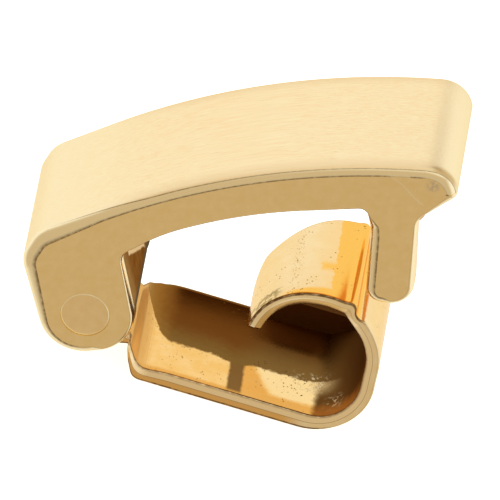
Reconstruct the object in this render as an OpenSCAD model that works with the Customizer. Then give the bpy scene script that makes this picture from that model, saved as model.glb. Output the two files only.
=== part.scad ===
// Hinged jewellery clasp, shown partly open.
// The strip's flat plate lies on Z = 0 and runs along X, with the hinge at -X and the curl at +X.
// The origin is the middle of the plate's flat underside.

/* [Cover] */
// Width of the cover, across the hinge
cover_w = 8; // [7.8:0.1:8.4]
// Depth of the rounding round both faces of the cover
cover_edge_r = 0.45; // [0.3:0.05:0.5]
// How far the cover stands open, measured from the plate
open_angle = 29.3; // [27:0.1:60]
// Outer radius of the ears about the pin
ear_r = 2.2; // [2.15:0.05:2.25]
// Thickness of each ear beside the knuckle slot
ear_t = 1; // [0.8:0.05:1.3]
// Depth of the slot's mouth below the pin axis
slot_mouth_h = 0.5; // [0.3:0.05:0.7]
// Thickness of each of the two lugs that snap over the curl
lug_t = 1.2; // [1:0.1:2]

/* [Hinge] */
// Radius of the hinge pin
pin_r = 1.1; // [0.9:0.05:1.15]
// Gap round the pin inside the ears
pin_seat_gap = 0.02; // [0.01:0.01:0.03]
// Gap round the pin inside the knuckle, where the strip turns
pin_run_gap = 0.04; // [0.02:0.01:0.08]
// Height of the pin axis above the surface that the plate lies on
pin_z = 2.69; // [2.65:0.01:2.8]
// Distance along the plate from the pin axis to the middle of the plate
pin_back = 7; // [6.8:0.1:7.2]

/* [Catch strip] */
// Width of the plate and the bend
strip_w = 7.6; // [7:0.1:7.6]
// Width of the curl's tongue at its tip
tongue_w = 4.8; // [4.6:0.1:5.4]
// Thickness of the strip
strip_t = 0.63; // [0.55:0.01:0.65]
// Thickness of the plate at its two long edges
plate_edge_t = 0.76; // [0.7:0.01:0.8]
// Outer radius of the knuckle round the pin
knuckle_r = 1.75; // [1.7:0.01:1.8]
// Gap on each side of the knuckle in the slot
knuckle_gap = 0.1; // [0.05:0.01:0.2]
// Radius of the catch rib across the curl
rib_r = 0.28; // [0.22:0.01:0.32]

/* [Hidden] */

// Largest distance between an arc and its chords
arc_error = 0.006;
// Rings in the rounding round each face of the cover
edge_steps = 5;
// Gap between the knuckle and the slot's round roof
roof_gap = 0.2;
slot_w = cover_w - 2 * ear_t;
knuckle_w = slot_w - 2 * knuckle_gap;
// Anything that cuts right through reaches this far past what it cuts
past = 2;

// Points inside the cover's outline that its flat faces are fanned out from:
// one in the ear block, one in the bar and one above the lugs
hubs = [[0, 3.2], [8.6, 5], [14.8, 3.8]];
// Cover outline about the pin axis, counter-clockwise, with the cover level.
// Columns: distance along, height, corner radius, width of the edge rounding, hub.
cover_outline = [
    [-ear_r + 0.04, -ear_r, ear_r - 0.2, 0.4, 0],
    [ear_r - 0.09, -ear_r + 0.22, ear_r - 0.25, 0.19, 0],
    [ear_r + 0.13, 2.72, 0.6, 0.12, 0],
    [4.3, 3.52, 9, 0.06, 1],
    [8.6, 4, 22, 0.06, 1],
    [13.78, 3.27, 0.35, 0.1, 2],
    [13.68, 2.05, 2.5, 0.42, 2],
    [12.54, -1.62, 0.75, 0.42, 2],
    [14.7, -2.06, 1.1, 0.25, 2],
    [15.93, 2.3, 0.7, 0.14, 2],
    [17.98, 3.12, 0.4, 0.35, 2],
    [18.1, 4.58, 1.45, 0.45, 2],
    [9.3, 6.84, 31.5, 0.45, 1],
    [-1.2, 4.44, 1.6, 0.6, 0],
    [-ear_r, 3.35, 1.5, 0.6, 0]
];
// Roof of the room between the lugs, above the pin axis
lug_roof_h = 2.5;

// The strip seen from the side, from the pin axis on: the underside of the web and its step
// Columns of all three: distance along, height, corner radius.
web_under = [
    [0, pin_z - knuckle_r, 0],
    [1.7, pin_z - knuckle_r, 2],
    [2.36, 1.14, 0.12],
    [2.9, 0, 0.5]
];
// The top of the web and its step, from the plate back to the pin axis
web_top = [
    [3.02, strip_t, 0.45],
    [2.3, 1.78, 0.25],
    [1.5, 1.5, 0.5],
    [0, 1.45, 0]
];
// The outer side of the plate, the bend and the curl, to the tongue's tip
curl_outer = [
    [13.7, 0, 2.8],
    [13.24, 5.3, 2.9],
    [11.3, 6.87, 0.5],
    [7.24, 6.82, 3.5],
    [7.17, 3.32, 0]
];
// Where the rib stands on the curl: distance along and height
rib_at = [11.36, 6.6];
// Where the groove beside the rib runs, and its radius
groove_at = [11.92, 6.62];
groove_r = 0.38;

// Radius of the shallow trough along the plate, and where the trough ends in the bend
trough_r = 41;
trough_end = 11.4;
// Corner radius of the plate beside the web on its -Y side
shoulder_r = 0.4;
// Edge of the web and the plate on their +Y side, where the corner is cut away.
// Columns: distance along, distance across from the middle, corner radius.
far_corner = [
    [1.2, strip_w, 0],
    [1.2, 1.6, 0.02],
    [2.43, 1.6, 0.1],
    [2.97, strip_w / 2, 1.3],
    [5, strip_w / 2, 0],
    [5, strip_w, 0]
];
// Lip on the +Y edge beside the bend, and its thickness. Columns: distance along, height, corner radius.
lip_side = [
    [8.1, 0.35, 0],
    [9.1, 1.85, 0.6],
    [12.9, 1.85, 0],
    [12.5, 1.3, 0.05],
    [11.8, 0.7, 0.05],
    [10.9, 0.4, 0]
];
lip_t = strip_t;
// How far the tongue reaches to each side of the middle, and its two corner radii: -Y side, +Y side
tongue_shift = 0.3;
tongue_side = [tongue_w / 2 + tongue_shift, tongue_w / 2 - tongue_shift];
tip_r = [0.9, 2.6];
// Half width of the curl beside its rib and where its taper steepens
rib_side = 3.43;
bend_side = 3.1;
// The curl narrows above this height
taper_z = 3.4;

function unit(a) = a / norm(a);
function turned(a) = [-a[1], a[0]];
function xy(row) = [row[0], row[1]];
function wrapped(table, i) = table[(i + len(table)) % len(table)];

// Arc that rounds the corner between two edges. It moves sideways by d with its edges:
// to the left of the path if d is positive.
function corner(before, at, after, r, d) =
    let (
        go = unit(at - before),
        on = unit(after - at),
        turn = acos(go * on),
        side = sign(cross(go, on)),
        moved_r = max(r - side * d, 0.02),
        moved_at = at + d * (turned(go) + turned(on)) / (1 + go * on),
        start = moved_at - go * moved_r * tan(turn / 2),
        middle = start + side * turned(go) * moved_r,
        from = atan2(start[1] - middle[1], start[0] - middle[0]),
        steps = max(2, ceil(turn / (2 * acos(1 - arc_error / r))))
    )
    [
        for (i = [0 : steps])
            let (a = from + side * turn * i / steps)
            middle + moved_r * [cos(a), sin(a)]
    ];

// Arc of one row of the cover's outline, moved inwards by a share of its edge rounding
function row_arc(table, i, share = 0) =
    let (row = table[i])
    corner(xy(wrapped(table, i - 1)), xy(row), xy(wrapped(table, i + 1)), row[2], share * row[3]);

// The cover's closed outline, moved inwards by a share of its edge rounding
function closed_outline(table, share) = [for (i = [0 : len(table) - 1]) each row_arc(table, i, share)];

// Open path of a table, moved to its left by d
function open_path(table, d = 0) =
    let (
        last = len(table) - 1,
        start = turned(unit(xy(table[1]) - xy(table[0]))),
        end = turned(unit(xy(table[last]) - xy(table[last - 1])))
    )
    [
        xy(table[0]) + d * start,
        for (i = [1 : last - 1])
            each corner(xy(table[i - 1]), xy(table[i]), xy(table[i + 1]), table[i][2], d),
        xy(table[last]) + d * end
    ];

function reversed(list) = [for (i = [len(list) - 1 : -1 : 0]) list[i]];

// Places an outline of distance along and height about the pin axis, upright in the XZ plane
module upright(w) {
    rotate([90, 0, 0]) linear_extrude(w, center = true) children();
}

// Solid bar of an outline, w wide, both of its faces rounded off to a depth of r
module rounded_bar(table, hubs, w, r) {
    // Columns: distance out from the middle, share of the way in to the flat face
    quarter = [
        for (i = [0 : edge_steps])
            let (a = 90 * i / edge_steps) [w / 2 - r * (1 - sin(a)), 1 - cos(a)]
    ];
    rings = concat([for (q = reversed(quarter)) [-q[0], q[1]]], quarter);
    point_hubs = [for (i = [0 : len(table) - 1]) each [for (p = row_arc(table, i)) table[i][4]]];
    count = len(point_hubs);
    last = (len(rings) - 1) * count;
    hub_row = len(rings) * count;
    points = concat(
        [for (q = rings, p = closed_outline(table, q[1])) [p[0], p[1], q[0]]],
        [for (side = [-1, 1], h = hubs) [h[0], h[1], side * w / 2]]
    );
    sides = [
        for (ring = [0 : len(rings) - 2], i = [0 : count - 1])
            let (a = ring * count, b = a + count, j = (i + 1) % count)
            each [[b + i, b + j, a + j], [b + i, a + j, a + i]]
    ];
    faces = [
        for (i = [0 : count - 1])
            let (
                j = (i + 1) % count,
                h = hub_row + point_hubs[i],
                k = hub_row + point_hubs[j],
                up = len(hubs)
            )
            each concat(
                [[i, j, h], [last + j, last + i, h + up]],
                h == k ? [] : [[j, k, h], [k + up, last + j, h + up]]
            )
    ];
    polyhedron(points, concat(sides, faces), convexity = 6);
}

// Room for the knuckle between the ears, open below and to both sides
module knuckle_slot() {
    mouth = ear_r + past;
    upright(slot_w) {
        circle(knuckle_r + roof_gap, $fn = 96);
        translate([-mouth, -mouth]) square([2 * mouth, mouth - slot_mouth_h]);
    }
}

// Room between the two lugs
module lug_room() {
    upright(cover_w - 2 * lug_t) translate([12, -past - ear_r]) square([4.6, past + ear_r + lug_roof_h]);
}

module cover() {
    color("wheat")
        translate([-pin_back, 0, pin_z]) rotate([0, -open_angle, 0]) difference() {
            rotate([90, 0, 0]) rounded_bar(cover_outline, hubs, cover_w, cover_edge_r);
            knuckle_slot();
            lug_room();
            rotate([90, 0, 0])
                cylinder(r = pin_r + pin_seat_gap, h = cover_w + past, center = true, $fn = 96);
        }
}

module hinge_pin() {
    color("tan")
        translate([-pin_back, 0, pin_z]) rotate([90, 0, 0])
            cylinder(r = pin_r, h = cover_w, center = true, $fn = 96);
}

// The narrow stretch from the knuckle to the step
module web() {
    upright(knuckle_w) polygon(concat(open_path(web_under), open_path(web_top)));
}

// The plate, the bend and the curl, at full width
module plate_and_curl() {
    outer = open_path(concat([web_under[2], web_under[3]], curl_outer));
    inner = open_path(concat([web_under[3]], curl_outer), strip_t);
    step_top = open_path([[9, strip_t, 0], web_top[0], web_top[1]]);
    tip_at = (outer[len(outer) - 1] + inner[len(inner) - 1]) / 2;
    upright(strip_w) {
        polygon(concat(outer, reversed([for (i = [1 : len(inner) - 1]) inner[i]]), step_top));
        translate(tip_at) circle(strip_t / 2, $fn = 48);
        translate(rib_at) circle(rib_r, $fn = 48);
    }
}

// The plate's thicker long edges, on both sides of the trough
module plate_edges() {
    difference() {
        translate([web_under[3][0], -strip_w / 2, strip_t / 2])
            cube([trough_end - web_under[3][0], strip_w, plate_edge_t - strip_t / 2]);
        translate([0, 0, strip_t + trough_r]) rotate([0, 90, 0]) cylinder(r = trough_r, h = 20, $fn = 720);
    }
}

// Edge of the curl on one side, seen from above, down to a tongue that reaches out by side
function curl_edge(side) =
    let (from_x = curl_outer[0][0], tip_x = curl_outer[3][0] + strip_t)
    open_path([
        [from_x, strip_w / 2, 0],
        [from_x - strip_t, strip_w / 2, 2],
        [rib_at[0], rib_side, 5],
        [9.5, bend_side, 5],
        [tip_x, side, 1],
        [tip_x - past, side, 0]
    ]);

// What is cut off the curl's tapering sides
module beside_curl() {
    far = curl_edge(tongue_side[1]);
    near = [for (p = curl_edge(tongue_side[0])) [p[0], -p[1]]];
    difference() {
        translate([curl_outer[4][0] - past, -strip_w, taper_z]) cube([curl_outer[0][0], 2 * strip_w, 6]);
        translate([0, 0, taper_z - past]) linear_extrude(10) polygon(concat(far, reversed(near)));
    }
}

// What is cut off the two corners of the tongue's tip
module beside_tip() {
    tip_z = curl_outer[4][1] - strip_t / 2;
    top = tip_z + 2 * past;
    flare = 1;
    outline = open_path([
        [-tongue_side[0] - flare, top, 0],
        [-tongue_side[0], tip_z, tip_r[0]],
        [tongue_side[1], tip_z, tip_r[1]],
        [tongue_side[1] + flare, top, 0]
    ]);
    difference() {
        translate([curl_outer[4][0] - past, -strip_w, tip_z - past])
            cube([2 * past, 2 * strip_w, past + tip_r[1]]);
        rotate([90, 0, 90]) linear_extrude(20) polygon(outline);
    }
}

// Lip on the +Y edge that closes the far end of the hollow under the curl up to the line of sight
module far_lip() {
    translate([0, (strip_w - lip_t) / 2, 0]) upright(lip_t) polygon(open_path(lip_side));
}

// What is cut off the plate's corner beside the web, on the -Y side
module near_corner() {
    x = web_top[1][0];
    side = strip_w / 2 - shoulder_r;
    difference() {
        translate([x - past, -side - past, -past]) cube([past + shoulder_r, past, 3 * past]);
        translate([x + shoulder_r, -side, -past]) cylinder(r = shoulder_r, h = 3 * past, $fn = 48);
    }
}

// The whole strip but its knuckle
module plate_and_web() {
    difference() {
        union() {
            plate_and_curl();
            plate_edges();
            web();
            far_lip();
        }
        upright(strip_w + past) translate(groove_at) circle(groove_r, $fn = 48);
        beside_curl();
        beside_tip();
        near_corner();
        translate([0, 0, -past]) linear_extrude(3 * past) polygon(open_path(far_corner));
    }
}

module catch_strip() {
    color("goldenrod") translate([-pin_back, 0, 0]) difference() {
        union() {
            plate_and_web();
            translate([0, 0, pin_z]) upright(knuckle_w) circle(knuckle_r, $fn = 96);
        }
        translate([0, 0, pin_z]) upright(strip_w + past) circle(pin_r + pin_run_gap, $fn = 96);
    }
}

cover();
hinge_pin();
catch_strip();
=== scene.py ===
"""Gilt jewellery clasp, partly open: looks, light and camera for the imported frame.

Shapes are worked out in millimetres and turned into metres when a mesh is made.
The row frame has the plate's underside at z = 0, +X from the hinge to the curl, +Y along the pin.
"""

import math

import bpy
import numpy as np
from mathutils import Matrix, Vector
from mathutils.geometry import delaunay_2d_cdt


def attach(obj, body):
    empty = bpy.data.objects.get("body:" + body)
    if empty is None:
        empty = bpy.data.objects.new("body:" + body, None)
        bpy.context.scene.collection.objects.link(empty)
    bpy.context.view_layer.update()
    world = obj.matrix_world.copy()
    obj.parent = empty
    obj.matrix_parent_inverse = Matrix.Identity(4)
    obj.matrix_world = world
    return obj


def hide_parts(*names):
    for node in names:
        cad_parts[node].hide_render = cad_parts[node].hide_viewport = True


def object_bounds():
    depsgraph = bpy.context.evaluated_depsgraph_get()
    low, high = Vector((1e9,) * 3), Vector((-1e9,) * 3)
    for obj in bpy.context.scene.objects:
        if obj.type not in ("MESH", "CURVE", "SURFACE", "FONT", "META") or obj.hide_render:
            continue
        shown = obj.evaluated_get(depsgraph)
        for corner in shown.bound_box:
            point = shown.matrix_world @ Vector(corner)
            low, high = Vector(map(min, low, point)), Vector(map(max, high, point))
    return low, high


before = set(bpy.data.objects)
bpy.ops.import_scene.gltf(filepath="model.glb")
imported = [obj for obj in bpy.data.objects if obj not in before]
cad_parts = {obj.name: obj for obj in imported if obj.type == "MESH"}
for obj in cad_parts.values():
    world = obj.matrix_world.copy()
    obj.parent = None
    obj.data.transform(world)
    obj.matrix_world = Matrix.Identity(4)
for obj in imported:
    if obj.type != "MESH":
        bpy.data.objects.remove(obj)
cad_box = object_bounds()

MM = 0.001

# Driving dimensions, as in the CAD part
COVER_W = 8.0
EDGE_R = 0.45
OPEN_ANGLE = math.radians(29.3)
EAR_R = 2.2
EAR_T = 1.0
SLOT_MOUTH_H = 0.5
LUG_T = 1.2
PIN_R = 1.1
PIN_SEAT_GAP = 0.02
PIN_RUN_GAP = 0.04
PIN_Z = 2.69
PIN_BACK = 7.0
STRIP_W = 7.6
STRIP_T = 0.63
PLATE_EDGE_T = 0.76
KNUCKLE_R = 1.75
KNUCKLE_GAP = 0.1
ROOF_GAP = 0.2
LUG_ROOF_H = 2.5
# Where the room between the lugs begins and ends, as distances along the level cover
LUG_ROOM = (12, 16.6)
SLOT_W = COVER_W - 2 * EAR_T
KNUCKLE_W = SLOT_W - 2 * KNUCKLE_GAP
# Largest distance between an arc and its chords
ARC_ERROR = 0.0015

# Cover outline about the pin axis, counter-clockwise, with the cover level.
# Columns: distance along, height, corner radius, width of the edge rounding, satin share.
COVER_OUTLINE = [
    [-EAR_R + 0.04, -EAR_R, EAR_R - 0.2, 0.4, 0.4],
    [EAR_R - 0.09, -EAR_R + 0.22, EAR_R - 0.25, 0.19, 0],
    [EAR_R + 0.13, 2.72, 0.6, 0.12, 0],
    [4.3, 3.52, 9, 0.06, 0],
    [8.6, 4, 22, 0.06, 0],
    [13.78, 3.27, 0.35, 0.1, 0],
    [13.68, 2.05, 2.5, 0.42, 0],
    [12.54, -1.62, 0.75, 0.42, 0],
    [14.7, -2.06, 1.1, 0.25, 0],
    [15.93, 2.3, 0.7, 0.14, 0],
    [17.98, 3.12, 0.4, 0.35, 0],
    [18.1, 4.58, 1.45, 0.45, 1],
    [9.3, 6.84, 31.5, 0.45, 1],
    [-1.2, 4.44, 1.6, 0.6, 1],
    [-EAR_R, 3.35, 1.5, 0.6, 1],
]
# Where the satin top ends in the edge rounding: distance along, angle in the rounding in degrees
SATIN_EDGE = [[-2.3, 4], [-0.9, 4], [0, 13], [0.95, 22], [1.92, 26], [4.24, 45], [17.2, 45], [18.2, 30]]
# Places in the edge rounding: 0 where it starts, 1 where the satin ends, 2 at the flat face, 3 on the face
EDGE_PLACES = [0, 0.25, 0.5, 0.75, 0.9, 1, 1.1, 1.3, 1.5, 1.7, 1.87, 2]
# Angle at which the rounding changes where there is no satin
PLAIN_EDGE_ANGLE = 4.0
# How far the last ring on the flat face runs inside the face's border
FACE_INSET = 0.1

# The strip seen from the side, x from the pin axis. Columns: distance along, height, corner radius.
WEB_UNDER = [
    [0, PIN_Z - KNUCKLE_R, 0],
    [1.7, PIN_Z - KNUCKLE_R, 2],
    [2.36, 1.14, 0.12],
    [2.9, 0, 0.5],
    [3.7, 0, 0],
]
WEB_TOP = [
    [0, 1.45, 0],
    [1.5, 1.5, 0.5],
    [2.3, 1.78, 0.4],
    [3.02, STRIP_T, 0.8],
    [3.7, STRIP_T, 0],
]
TIP_Z = 3.32 - STRIP_T / 2
CURL_OUTER = [
    [3.7, 0, 0],
    [13.7, 0, 2.8],
    [13.24, 5.3, 2.9],
    [11.3, 6.87, 0.5],
    [7.24, 6.82, 3.5],
    [7.165, TIP_Z, 0],
]
# Middle of the rib and of the groove on the curl's outside: distance along, height
RIB_AT = [11.36, 6.88]
GROOVE_AT = [11.8, 6.47]
GROOVE_R = 0.38
GROOVE_D = 0.17
# How far the rib stands out, and how far it spreads along the blank
RIB_RISE = 0.07
RIB_SPREAD = 0.15
# Where the plate's shoulder beside the web stands on the -Y side, and its radius
SHOULDER_X = 2.3
SHOULDER_R = 0.4
# Edge of the web and the plate on the +Y side. Columns: distance along, half width, corner radius.
FAR_CORNER = [
    [0.8, KNUCKLE_W / 2, 0],
    [1.2, KNUCKLE_W / 2, 0.32],
    [1.2, 1.6, 0.02],
    [2.43, 1.6, 0.1],
    [2.97, STRIP_W / 2, 1.3],
    [5, STRIP_W / 2, 0],
]
# Half widths of the tongue, the radii of its two corners and how fast it widens from them
TONGUE_SIDE = {"near": 2.7, "far": 2.1}
TIP_R = {"near": 0.9, "far": 2.6}
TIP_FLARE = 0.25
# How much shorter the tongue is than its outline above, and the stretch that its corners shape
TIP_WEAR = 0.42
TIP_LENGTH = 3
# The curl narrows above this height
TAPER_Z = 3.4
# Radius of the shallow trough along the plate, where it begins and where it ends in the bend
TROUGH_R = 26
TROUGH_START = (3.1, 4.6)
TROUGH_END = 11.4
# A place along the plate where it is straight
PLATE_X = 5.0
# The plate's far edge is rolled over twice as wide: where across it, and where along it
ROLL_ACROSS = (3.5, 3.75)
ROLL_START = (2.9, 3.6)
ROLL_END = (7.6, 8.2)
# Steps of the points on the blank's edge and inside it, across the blank
EDGE_STEP = 0.14
FILL_STEP = 0.3

# Lip on the +Y edge beside the bend. Columns: distance along, height, corner radius.
LIP_SIDE = [
    [8.1, 0.35, 0],
    [9.1, 1.85, 0.6],
    [12.9, 1.85, 0],
    [12.5, 1.3, 0.05],
    [11.8, 0.7, 0.05],
    [10.9, 0.4, 0],
]

# Rounding of the lip's edges: distance out from its outline, distance from its face
LIP_EDGE = [(-0.06, 0.0), (-0.015, 0.015), (0.0, 0.06)]
# Where the lip lies on the blank: how far its distance along is moved, and the height of its foot
LIP_ALONG = 1.2
LIP_FOOT = 0.35

# Rings of the strip's edge: distance in from the outline, depth below the top or height
# above the underside (negative), and the place that the finish reads
STRIP_RINGS = [
    [0.17, 0.0, -1],
    [0.07, 0.0, 0],
    [0.035, -0.012, 0.3],
    [0.01, -0.035, 0.6],
    [0.0, -0.075, 1],
    [0.0, 0.33, 2],
    [0.012, 0.3, 2.15],
    [0.06, 0.06, 2.8],
    [0.095, 0.018, 2.95],
    [0.14, 0.0, 3],
    [0.2, 0.0, 4],
]

# Colours of the cover. A pair holds the two ends of a mottle or a slow change.
SATIN_BRUSHED = ((0.97, 0.74, 0.42), (1.0, 0.86, 0.56))
SATIN_BROAD = (1.0, 0.83, 0.54)
# Painted highlight at both ends of the satin top
SATIN_PALE_HIGHLIGHT = (1.0, 0.90, 0.62)
SATIN_SCORE = (0.78, 0.56, 0.28)
# Painted shade on the satin: duller towards the faces, and on the right end
SATIN_FADE_SHADE = (0.86, 0.66, 0.38)
SATIN_SHADE = (0.62, 0.42, 0.17)
POLISHED = ((0.93, 0.71, 0.36), (0.96, 0.76, 0.42))
# Painted sheen on the polished band, and painted warm reflection on the underside and the lug
POLISHED_BAND_SHEEN = (1.0, 0.86, 0.56)
POLISHED_UNDER_REFLECTION = (0.80, 0.52, 0.20)
POLISHED_LUG_REFLECTION = (1.0, 0.68, 0.32)
# Painted shade on the inner side of the ears, lighter near the near face and darkest at the foot, with a
# painted highlight patch
EAR_SHADE = ((0.24, 0.09, 0.012), (0.33, 0.16, 0.04))
EAR_NEAR_SHADE = (0.45, 0.28, 0.10)
EAR_HIGHLIGHT = (1.0, 0.78, 0.44)
EAR_FOOT_SHADE = (0.15, 0.12, 0.07)
LINE_BROWN = (0.20, 0.12, 0.045)
# Painted highlight line on the band
LINE_HIGHLIGHT = (1.0, 0.92, 0.68)
LINE_GRIME = (0.10, 0.055, 0.02)
SCRATCH = (1.0, 0.92, 0.70)
STAIN = (0.42, 0.42, 0.42)

# Colours of the rivet
RIVET_GILT = ((0.92, 0.70, 0.37), (0.96, 0.75, 0.43))
# Painted highlight on the rim
RIVET_RIM_HIGHLIGHT = (1.0, 0.93, 0.68)

# Colours of the strip
OUTSIDE_CREAM = ((0.94, 0.71, 0.37), (0.97, 0.77, 0.45))
# Painted warm and orange reflections on the outside
OUTSIDE_WARM_REFLECTION = (0.97, 0.66, 0.28)
OUTSIDE_ORANGE_REFLECTION = (1.0, 0.55, 0.09)
OUTSIDE_WORN = (0.22, 0.15, 0.045)
INSIDE_WARM = ((0.93, 0.56, 0.17), (0.97, 0.65, 0.27))
# Painted reflections on the plate: a light patch, orange round it and a dark band
INSIDE_CREAM_REFLECTION = (1.0, 0.76, 0.38)
INSIDE_ORANGE_REFLECTION = (0.80, 0.38, 0.07)
BAND_DARK_REFLECTION = (0.15, 0.06, 0.012)
# Painted dark reflection on the far half, and painted shade under the curl
FAR_DARK_REFLECTION = ((0.19, 0.095, 0.02), (0.15, 0.045, 0.005))
FAR_BY_STEP_REFLECTION = (0.33, 0.14, 0.022)
FAR_SHADED = ((0.19, 0.10, 0.025), (0.11, 0.038, 0.006))
# Painted light on the plate's far rim
FAR_RIM_HIGHLIGHT = (0.62, 0.42, 0.17)
# Painted shade in the hollow, painted orange streaks of reflection in it, a painted dark mirror image of the
# lip, and painted shade on the lip
HOLLOW_SHADE = ((0.22, 0.10, 0.022), (0.14, 0.05, 0.01))
HOLLOW_STREAK_REFLECTION = (0.62, 0.22, 0.035)
HOLLOW_DEEP_REFLECTION = (0.15, 0.045, 0.006)
HOLLOW_LIP_SHADE = ((0.12, 0.045, 0.009), (0.12, 0.04, 0.008))
# Painted glints
GLINT_HIGHLIGHT = (1.0, 0.80, 0.48)
# Painted shade on the web under the ears
WEB_SHADE = (0.36, 0.12, 0.025)
# Painted light on the rise of the step
RISER_HIGHLIGHT = (1.0, 0.59, 0.19)
EDGE_TAN = ((0.98, 0.78, 0.46), (1.0, 0.86, 0.58))
# Painted highlight on the edge's inner half, and painted shade on its lower half along the plate and its
# inner half along the tongue
EDGE_INNER_HIGHLIGHT = (1.0, 0.82, 0.52)
EDGE_PLATE_SHADE = (0.86, 0.52, 0.18)
EDGE_TONGUE_SHADE = (0.72, 0.47, 0.18)
EDGE_MIDDLE = (0.30, 0.20, 0.08)
EDGE_GRIME = (0.15, 0.07, 0.018)
PIT_BROWN = (0.30, 0.17, 0.05)

# Photo table in metres, its top a hair below the plate so that the two don't fall together
TABLE_R = 0.6
TABLE_RIM_R = 0.004
TABLE_DEPTH = 0.02
TABLE_CORNERS = 96
TABLE_GAP = 0.00002

# Surroundings. The dark flag has a direction, and an outer and an inner edge in degrees from it.
ROOM_FRONT = (0.62, 0.52, 0.38)
ROOM_WHITE = (1.0, 0.99, 0.97)
ROOM_ABOVE = (0.95, 0.9, 0.8)
ROOM_BELOW = (0.9, 0.86, 0.78)
BACKDROP = (1.0, 0.99, 0.98)
FLAG_AT = (0.107, 0.519, 0.848)
FLAG_ANGLES = (17, 12)
FLAG_BROWN = (0.16, 0.09, 0.035)

# Camera: its place, its right and its up in the row frame, its lens and its sensor
CAMERA_AT = (-66.45, -837.55, 546.52)
CAMERA_RIGHT = (0.95684, 0.10073, 0.27261)
CAMERA_UP = (-0.28305, 0.53573, 0.79554)
LENS = 1600.0
SENSOR = 36.0


# Outlines in the plane


def unit(a):
    return a / np.linalg.norm(a)


def turned(a):
    return np.array([-a[1], a[0]])


def corner(before, at, after, r, d=0.0):
    """Arc that rounds a corner, moved to the left of the path by d with its edges."""
    before, at, after = (np.array(p[:2], float) for p in (before, at, after))
    go = unit(at - before)
    on = unit(after - at)
    turn = math.acos(np.clip(go @ on, -1, 1))
    side = np.sign(go[0] * on[1] - go[1] * on[0])
    moved_r = max(r - side * d, 0.02)
    moved_at = at + d * (turned(go) + turned(on)) / (1 + go @ on)
    start = moved_at - go * moved_r * math.tan(turn / 2)
    middle = start + side * turned(go) * moved_r
    first = math.atan2(start[1] - middle[1], start[0] - middle[0])
    steps = 2 * max(1, math.ceil(turn / (4 * math.acos(1 - ARC_ERROR / max(r, 0.05)))))
    angles = [first + side * turn * i / steps for i in range(steps + 1)]
    return [middle + moved_r * np.array([math.cos(a), math.sin(a)]) for a in angles]


def open_path(table, d=0.0):
    """Path of a table with its corners rounded, moved to its left by d."""
    points = [np.array(row[:2], float) for row in table]
    out = [points[0] + d * turned(unit(points[1] - points[0]))]
    for i in range(1, len(table) - 1):
        out += corner(table[i - 1], table[i], table[i + 1], table[i][2], d)
    out.append(points[-1] + d * turned(unit(points[-1] - points[-2])))
    return np.array(out)


def resampled(points, count):
    """The path as count + 1 points at equal distances."""
    points = np.asarray(points, float)
    at = np.r_[0, np.cumsum(np.linalg.norm(np.diff(points, axis=0), axis=1))]
    want = np.linspace(0, at[-1], count + 1)
    return np.stack([np.interp(want, at, points[:, k]) for k in range(points.shape[1])], 1)


def refined(points, step):
    """The path with its own points kept and more set between them."""
    out = [points[0]]
    for a, b in zip(points[:-1], points[1:]):
        count = max(1, math.ceil(np.linalg.norm(b - a) / step))
        out += [a + (b - a) * (k + 1) / count for k in range(count)]
    return np.array(out)


def smooth_step(x, low, high):
    t = np.clip((x - low) / (high - low), 0, 1)
    return t * t * (3 - 2 * t)


# Meshes


def new_object(name, points, faces, smooth_angle=38):
    """Mesh object of points, smooth but for edges sharper than an angle in degrees."""
    mesh = bpy.data.meshes.new(name)
    places = [tuple(float(c) for c in p) for p in points]
    mesh.from_pydata(places, [], [tuple(int(i) for i in f) for f in faces])
    mesh.validate()
    obj = bpy.data.objects.new(name, mesh)
    bpy.context.scene.collection.objects.link(obj)
    soften(mesh, smooth_angle)
    return obj


def soften(mesh, angle):
    mesh.shade_smooth()
    mesh.set_sharp_from_angle(angle=math.radians(angle))


def to_metres(obj):
    """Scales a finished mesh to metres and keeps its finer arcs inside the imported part's box."""
    low, high = cad_box
    set_coordinates(obj.data, np.clip(coordinates(obj.data) * MM, tuple(low), tuple(high)))


def coordinates(mesh):
    flat = np.zeros(len(mesh.vertices) * 3, np.float32)
    mesh.vertices.foreach_get("co", flat)
    return flat.reshape(-1, 3).astype(float)


def set_coordinates(mesh, points):
    mesh.vertices.foreach_set("co", np.asarray(points, np.float32).ravel())
    mesh.update()


def set_vectors(mesh, name, values):
    layer = mesh.attributes.new(name, "FLOAT_VECTOR", "POINT")
    layer.data.foreach_set("vector", np.asarray(values, np.float32).ravel())


def loft(rings):
    """Side faces between closed rings of the same length, which run counter-clockwise seen from the last."""
    faces = []
    for low, high in zip(rings[:-1], rings[1:]):
        for i in range(len(low)):
            j = (i + 1) % len(low)
            faces.append((low[i], low[j], high[j], high[i]))
    return faces


def upright_solid(rings):
    """Faces of a solid whose rings run counter-clockwise seen from -Y, from its -Y end to its +Y end."""
    return [tuple(reversed(f)) for f in loft(rings)] + [tuple(rings[0]), tuple(reversed(rings[-1]))]


def prism(name, outline, half):
    """Upright prism of an outline of distance along and height, as wide to each side as half."""
    count = len(outline)
    points = [(p[0], y, p[1]) for y in (-half, half) for p in outline]
    low = list(range(count))
    high = [count + i for i in low]
    return new_object(name, points, upright_solid([low, high]))


def circle(r, count=160):
    angles = [2 * math.pi * i / count for i in range(count)]
    return [(r * math.cos(a), r * math.sin(a)) for a in angles]


def cut(obj, cutters):
    """Takes the cutters out of obj and deletes them."""
    for cutter in cutters:
        modifier = obj.modifiers.new("cut", "BOOLEAN")
        modifier.operation = "DIFFERENCE"
        modifier.solver = "EXACT"
        modifier.object = cutter
    graph = bpy.context.evaluated_depsgraph_get()
    old = obj.data
    made = bpy.data.meshes.new_from_object(obj.evaluated_get(graph))
    obj.modifiers.clear()
    obj.data = made
    made.name = old.name
    bpy.data.meshes.remove(old)
    for cutter in cutters:
        bpy.data.objects.remove(cutter)


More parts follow.
